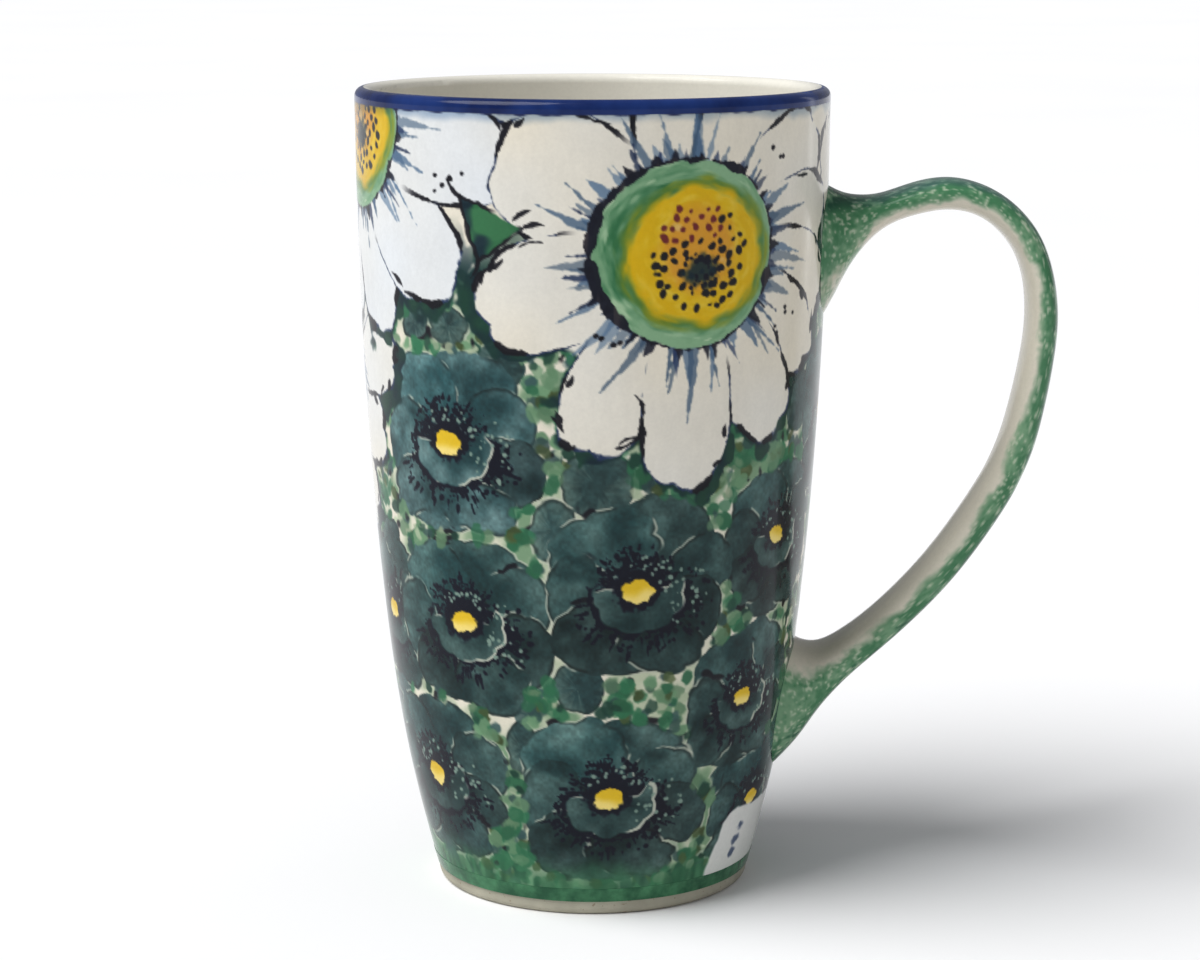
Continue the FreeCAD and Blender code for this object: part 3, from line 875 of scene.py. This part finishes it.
# the handle's glaze: a strap swept round the loop, with its painted side outwards
strap = {"sides": 24, "perStation": 2, "smoothing": 3, "squareness": 2.5, "swell": 0.14, "steps": 400,
         # outer edge, inner edge and width at each station, in millimetres, from the upper root down
         "stations": [((39.0, 130.0), (38.8, 100.2), 25.4), ((43.1, 127.8), (43.1, 107.2), 19.3),
                      ((46.5, 126.4), (46.8, 114.6), 16.0), ((52.0, 126.4), (52.4, 120.8), 14.0),
                      ((58.4, 128.6), (59.2, 123.3), 13.5), ((65.5, 129.5), (65.3, 124.0), 13.3),
                      ((73.8, 126.7), (71.2, 122.1), 13.2), ((80.8, 119.6), (76.4, 116.6), 13.2),
                      ((84.0, 109.5), (78.7, 109.3), 13.2), ((84.2, 99.0), (78.7, 99.8), 13.2),
                      ((81.4, 83.2), (75.9, 86.0), 13.2), ((78.6, 75.4), (73.5, 78.8), 13.2),
                      ((75.1, 68.5), (70.2, 72.4), 13.2),
                      ((66.6, 56.2), (61.9, 60.2), 13.2), ((56.3, 45.6), (52.2, 49.9), 13.5),
                      ((47.4, 37.9), (44.4, 44.0), 15.2), ((41.6, 31.4), (40.3, 43.0), 18.0),
                      ((37.5, 25.4), (36.8, 44.4), 22.0), ((31.0, 18.6), (31.5, 48.0), 25.6)]}


def curveThrough(values, at):
    # Catmull-Rom through the values, read at 0, 1, 2 and between
    values = np.asarray(values, float)
    low = np.clip(np.floor(at).astype(int), 0, len(values) - 2)
    t = (at - low)[:, None]
    p0, p1 = values[np.maximum(low - 1, 0)], values[low]
    p2, p3 = values[low + 1], values[np.minimum(low + 2, len(values) - 1)]
    return 0.5 * (2 * p1 + (p2 - p0) * t + (2 * p0 - 5 * p1 + 4 * p2 - p3) * t ** 2
                  + (3 * p1 - p0 - 3 * p2 + p3) * t ** 3)


def strapRows(count):
    # outer and inner places and widths down the strap, grown a little so the coat covers the clay
    at = np.linspace(0, len(strap["stations"]) - 1, count)
    outer = curveThrough([s[0] for s in strap["stations"]], at)
    inner = curveThrough([s[1] for s in strap["stations"]], at)
    width = curveThrough([(s[2],) for s in strap["stations"]], at)[:, 0]
    across = (outer - inner) / np.linalg.norm(outer - inner, axis=1)[:, None] * strap["swell"]
    return outer + across, inner - across, width + 2 * strap["swell"]


def strapRing(outer, inner, width):
    # one squarish oval section of the strap, in metres
    around = np.arange(strap["sides"]) * 2 * np.pi / strap["sides"]
    c, s = np.cos(around), np.sin(around)
    power = 2 / strap["squareness"]
    u, v = np.sign(c) * np.abs(c) ** power, np.sign(s) * np.abs(s) ** power
    middle, half = (outer + inner) / 2, (outer - inner) / 2
    x, z = middle[0] + half[0] * u, middle[1] + half[1] * u
    return np.column_stack([x, v * width / 2, z]) / 1000.0


def makeHandle(material):
    rows = (len(strap["stations"]) - 1) * strap["perStation"] + 1
    outer, inner, width = strapRows(rows)
    piece = begin("handle_coat", bpy.ops.mesh.primitive_circle_add, vertices=strap["sides"], radius=0.005)
    ring = strapRing(outer[0], inner[0], width[0])
    move(piece, ring)
    rim = set(range(strap["sides"]))
    edit()
    bpy.ops.mesh.select_all(action="SELECT")
    bpy.ops.mesh.edge_face_add()
    done()
    # draw the last ring out along the loop, one ring at a time
    for row in range(1, rows):
        choose(piece, "vertices", lambda v: v.index in rim)
        bpy.ops.mesh.select_mode(type="EDGE")
        bpy.ops.mesh.extrude_edges_move()
        done()
        places = pointsOf(piece)
        fresh = np.arange(len(places) - strap["sides"], len(places))
        match = np.argmin(((places[fresh][:, None] - ring[None]) ** 2).sum(-1), axis=1)
        ring = strapRing(outer[row], inner[row], width[row])
        places[fresh] = ring[match]
        move(piece, places)
        rim = set(fresh.tolist())
    choose(piece, "vertices", lambda v: v.index in rim)
    bpy.ops.mesh.edge_face_add()
    bpy.ops.mesh.select_all(action="SELECT")
    bpy.ops.mesh.remove_doubles(threshold=1e-6)
    bpy.ops.mesh.normals_make_consistent(inside=False)
    done()
    soften = piece.modifiers.new("soften", "SUBSURF")
    soften.levels = soften.render_levels = strap["smoothing"]
    bpy.ops.object.modifier_apply(modifier=soften.name)
    paintHandle(piece)
    finish(piece, material, "handle_glaze", "upper_slip_joint", "lower_slip_joint",
           slotName="speckled_handle_glaze")


def paintHandle(piece):
    # green sponged on from the outer side, thinning towards the inner, with bare cream inside the loop
    places = pointsOf(piece) * 1000.0
    outer, inner, _ = strapRows(strap["steps"])
    middle = (outer + inner) / 2
    near = np.argmin(((places[:, None, (0, 2)] - middle[None]) ** 2).sum(-1), axis=1)
    across = outer[near] - inner[near]
    thick = np.linalg.norm(across, axis=1)
    outward = ((places[:, (0, 2)] - middle[near]) * across).sum(1) / thick / (thick / 2)
    run = near / (strap["steps"] - 1.0)
    coarse, spots, tiny = noiseAt(places, 3.0, 31), noiseAt(places, 0.9, 32), noiseAt(places, 0.45, 33)
    slow = noiseAt(places, 11.0, 34)
    # the green reaches further in at the roots
    edge = -0.24 - 0.16 * smooth(0.12, 0.03, run) - 0.28 * smooth(0.84, 0.97, run)
    cover = smooth(-0.30, 0.26, outward - edge + 0.26 * coarse + 0.16 * spots + 0.12 * slow)
    blotch = smooth(-0.35, 0.65, 0.6 * coarse + 0.45 * spots + 0.35 * tiny + 0.3 * slow)
    green = blend(hue["handleGreen"], hue["handleLight"], 0.6 * blotch)
    green = blend(green, hue["cream"], 0.45 * smooth(0.34, 0.66, tiny + 0.45 * spots))
    colour = blend(hue["handleCream"], green, cover)
    deep = smooth(0.35, 0.9, outward + 0.25 * coarse) * smooth(0.55, -0.35, spots + 0.6 * coarse)
    colour = blend(colour, hue["handleDeep"], 0.75 * deep)
    # a wet blue-green streak along the top of the arch
    arch = smooth(0.10, 0.2, run) * smooth(0.42, 0.32, run) * smooth(0.45, 0.85, outward + 0.1 * coarse)
    colour = blend(colour, hue["archTeal"], 0.5 * arch)
    colourPoints(piece, "sponged", colour)


# put it together
paintWall()

wallGlaze, _, _ = glazed("painted under clear glaze", attribute="underglaze", mottle=0.035)
for index in range(sheet["panels"]):
    wallPanel(index, wallGlaze)
print("painted wall built")

handleGlaze, _, _ = glazed("sponged green under clear glaze", attribute="sponged", mottle=0.04)
makeHandle(handleGlaze)
print("handle built")


def bandGlaze(name, deep, thin, scale):
    # one brushed band of colour, darker where the brush overlapped
    material, tree, surface = glazed(name, solid(deep), mottle=0.04)
    where = objectPlaces(tree)
    patchy = ranged(tree, noiseOf(tree, where, scale, 4.0), 0.0, 1.0, 0.38, 0.72)
    shade = surface.inputs["Base Color"].links[0].from_node
    tree.links.new(mixed(tree, patchy, solid(deep), solid(thin)), shade.inputs["A"])
    return material


creamGlaze, _, _ = glazed("cream liner glaze", solid("liner"), mottle=0.03)
dress("rim_band", bandGlaze("cobalt rim", "cobalt", "cobaltThin", 60.0))
dress("foot_band", bandGlaze("green foot line", "footDeep", "footGreen", 260.0))
dress("liner_glaze", creamGlaze)
dress("base_glaze", creamGlaze)
clay = bareClay("bare stoneware")
for node in ("cup_body", "handle"):
    dress(node, clay)

# floor, light and camera
studio = {"cameraBack": 0.555, "cameraUp": 0.1773, "tiltDown": 10.55, "cameraSide": 0.00134, "lens": 92.1,
          "floor": 24.0, "paperDeep": (0.92, 0.92, 0.925, 1), "paperPale": (0.94, 0.94, 0.945, 1),
          "keyFrom": (-0.62, -0.25, 0.98), "keyStrength": 3.1, "keySoftness": 44,
          "stripFrom": (0.55, 0.42, 0.20), "stripAim": (0, 0, 0.07), "stripSize": (0.06, 0.40),
          "stripPower": 0.10, "roomColour": (0.955, 0.965, 1.0, 1), "roomStrength": 0.30, "behind": 1.1}
floor = begin("floor", bpy.ops.mesh.primitive_plane_add, size=studio["floor"])
edit()
bpy.ops.mesh.subdivide(number_cuts=3)
done()
paper, tree, surface = newMaterial("white paper")
where = objectPlaces(tree)
white = ranged(tree, noiseOf(tree, where, 3.0), 0.0, 1.0)
tree.links.new(mixed(tree, white, studio["paperDeep"], studio["paperPale"]), surface.inputs["Base Color"])
surface.inputs["Roughness"].default_value = 0.9
surface.inputs["Specular IOR Level"].default_value = 0.1
floor.data.materials.append(paper)

# a dim upright strip on the right, and a broad soft sun from the upper left
bpy.ops.object.select_all(action="DESELECT")
bpy.ops.object.light_add(type="AREA", location=studio["stripFrom"])
strip = bpy.context.active_object
strip.name = "strip_right"
strip.data.shape = "RECTANGLE"
strip.data.size, strip.data.size_y = studio["stripSize"]
strip.data.energy = studio["stripPower"]
aim = strip.location.copy()
aim.x, aim.y, aim.z = (to - start for to, start in zip(studio["stripAim"], studio["stripFrom"]))
strip.rotation_euler = aim.to_track_quat("-Z", "Y").to_euler()

bpy.ops.object.select_all(action="DESELECT")
bpy.ops.object.light_add(type="SUN", location=studio["keyFrom"])
key = bpy.context.active_object
key.name = "soft_key"
key.data.energy, key.data.angle = studio["keyStrength"], radians(studio["keySoftness"])
key.rotation_euler = key.location.copy().to_track_quat("Z", "Y").to_euler()

# the room lights the mug evenly, and looks pure white behind it
world = bpy.data.worlds.new("studio")
bpy.context.scene.world = world
world.use_nodes = True
tree = world.node_tree
background = tree.nodes["Background"]
background.inputs["Color"].default_value = studio["roomColour"]
direct = add(tree, "ShaderNodeLightPath").outputs["Is Camera Ray"]
strength = ranged(tree, direct, studio["roomStrength"], studio["behind"], 0.0, 1.0)
tree.links.new(strength, background.inputs["Strength"])

bpy.ops.object.camera_add(location=(studio["cameraSide"], -studio["cameraBack"], studio["cameraUp"]),
                          rotation=(radians(90 - studio["tiltDown"]), 0, 0))
camera = bpy.context.active_object
camera.data.lens = studio["lens"]
camera.data.sensor_width = 36
camera.data.clip_start, camera.data.clip_end = 0.01, 50
bpy.context.scene.camera = camera
bpy.context.scene.view_settings.view_transform = "Standard"
print("camera and lights set")
